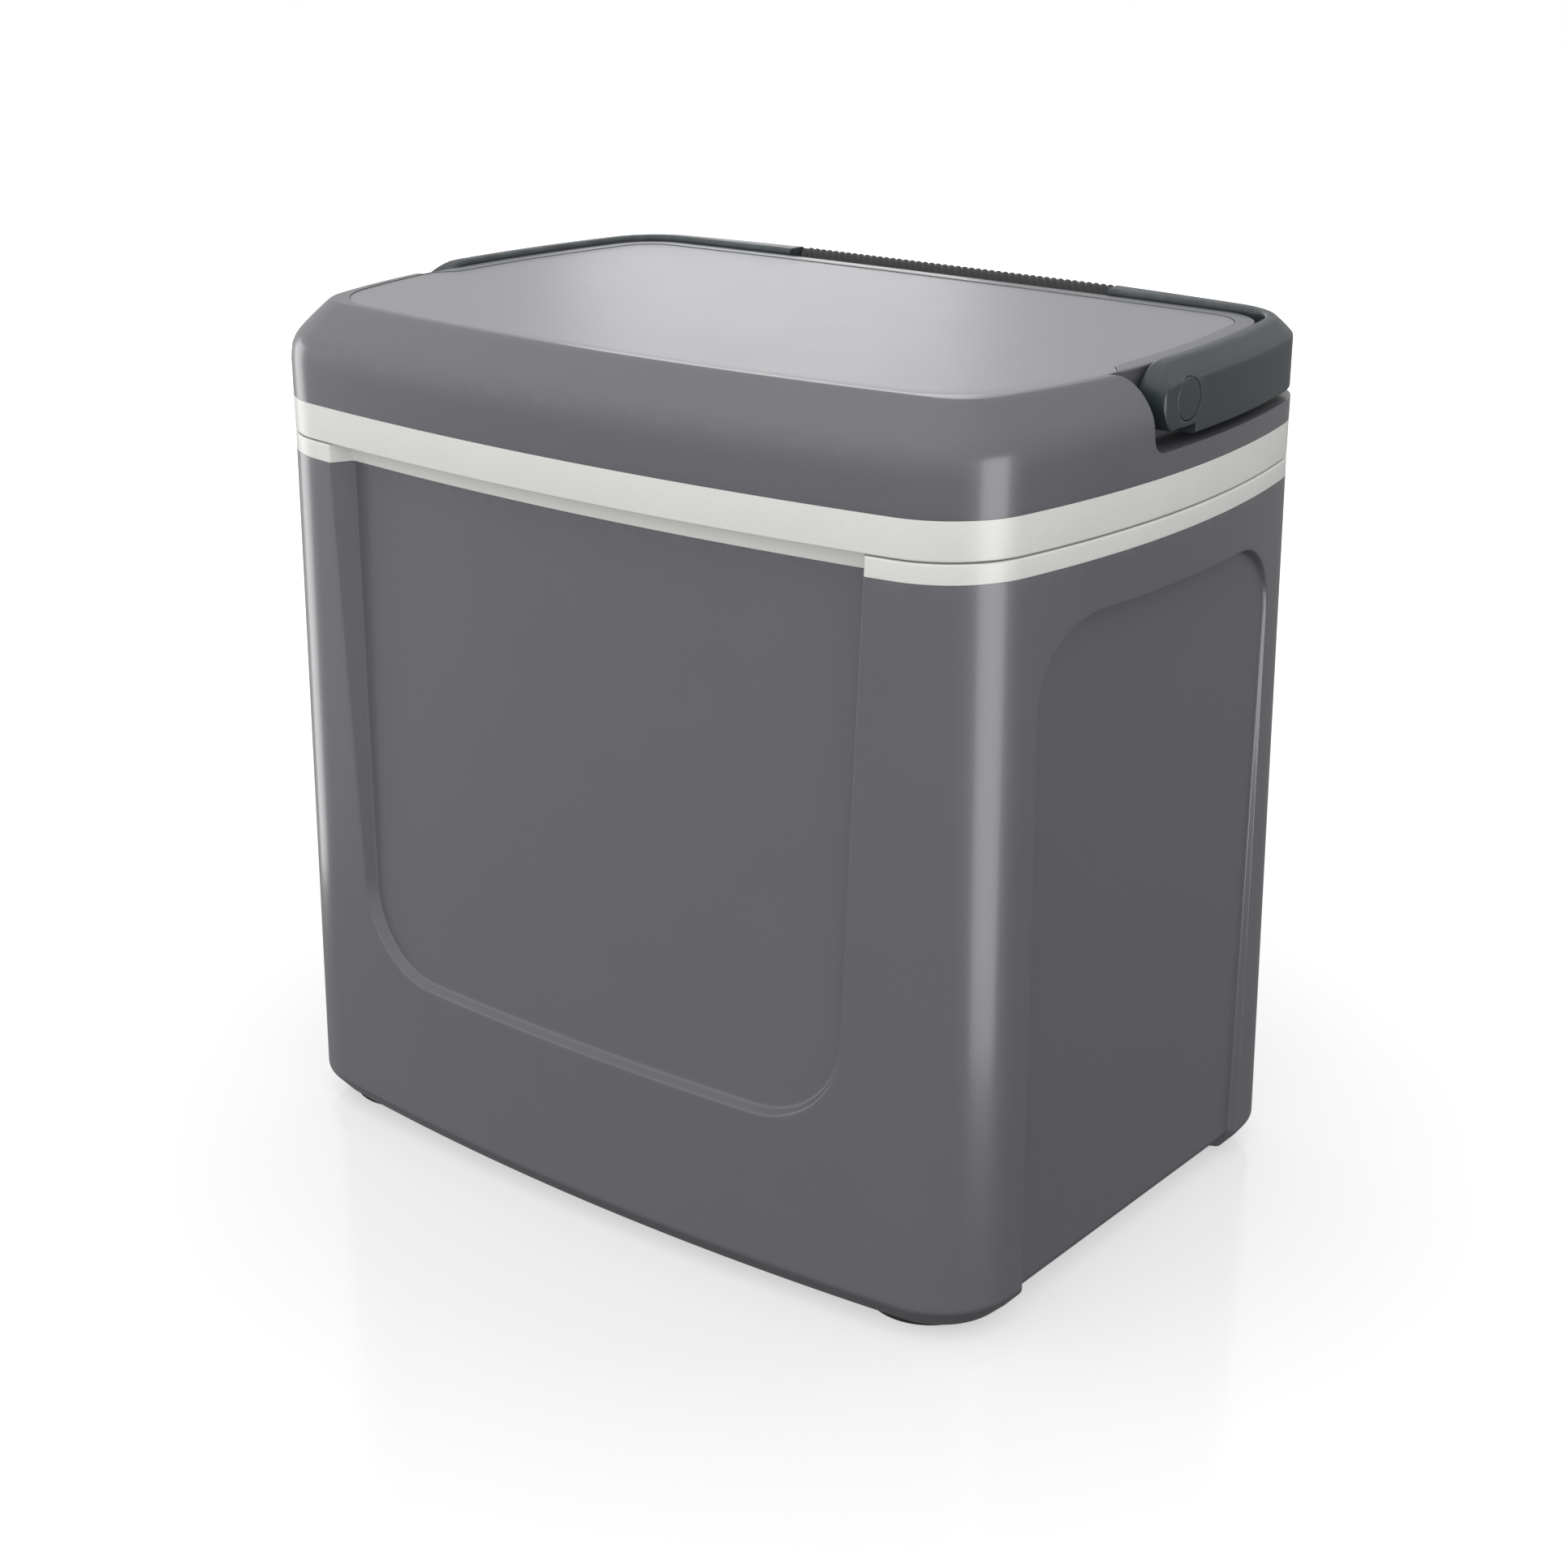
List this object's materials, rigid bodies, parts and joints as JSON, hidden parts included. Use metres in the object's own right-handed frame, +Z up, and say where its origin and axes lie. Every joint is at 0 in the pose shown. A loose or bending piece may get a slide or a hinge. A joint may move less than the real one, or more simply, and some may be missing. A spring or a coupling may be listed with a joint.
{
  "type": "hard cooler",
  "caption": "Hard-sided cooler with a foam-filled body, a rear-hinged lid and a folding bail handle that lies round the rear of the lid.",
  "frame": {"origin": "middle of the floor under the feet", "axes": "+X to the right side seen from the front, +Y to the rear where the lid is hinged, +Z up"},
  "size_m": [0.45, 0.313, 0.4268],
  "materials": {
    "shell_grey": "satin",
    "panel_grey": "satin",
    "cream_plastic": "satin",
    "insulation": "matte",
    "slate_plastic": "satin",
    "black_rubber": "matte",
    "seal_rubber": "matte",
    "steel": "satin",
    "acetal": "satin"
  },
  "bodies": {
    "cooler_body": {"outer_shell": "shell_grey", "inner_liner": "cream_plastic", "body_foam": "insulation", "foot_front_left": "black_rubber", "foot_front_right": "black_rubber", "foot_rear_left": "black_rubber", "foot_rear_right": "black_rubber", "foot_screws": "steel", "hinge_body_leaf_left": "steel", "hinge_body_leaf_right": "steel", "hinge_pin_left": "steel", "hinge_pin_right": "steel", "hinge_body_screws": "steel", "keeper_plate_left": "steel", "keeper_plate_right": "steel", "keeper_screws": "steel"},
    "lid": {"lid_shell": "shell_grey", "lid_top_panel": "panel_grey", "lid_liner": "cream_plastic", "lid_foam": "insulation", "lid_gasket": "seal_rubber", "hinge_lid_leaf_left": "steel", "hinge_lid_leaf_right": "steel", "hinge_lid_screws": "steel", "pivot_bush_left": "acetal", "pivot_bush_right": "acetal"},
    "handle": {"handle_bail": "slate_plastic", "handle_grip": "black_rubber", "pivot_pin_left": "steel", "pivot_pin_right": "steel", "pivot_cap_left": "slate_plastic", "pivot_cap_right": "slate_plastic", "lock_lever_left": "steel", "lock_lever_right": "steel", "lever_screws": "steel"}
  },
  "joints": [
    {"name": "lid_hinge", "type": "hinge", "parent": "cooler_body", "child": "lid", "pos_m": [0, 0.146, 0.3565], "axis": [-1, 0, 0], "range_deg": [0, 95]},
    {"name": "handle_pivot", "type": "hinge", "parent": "lid", "child": "handle", "pos_m": [0, 0, 0.4103], "axis": [1, 0, 0], "range_deg": [0, 90]}
  ]
}
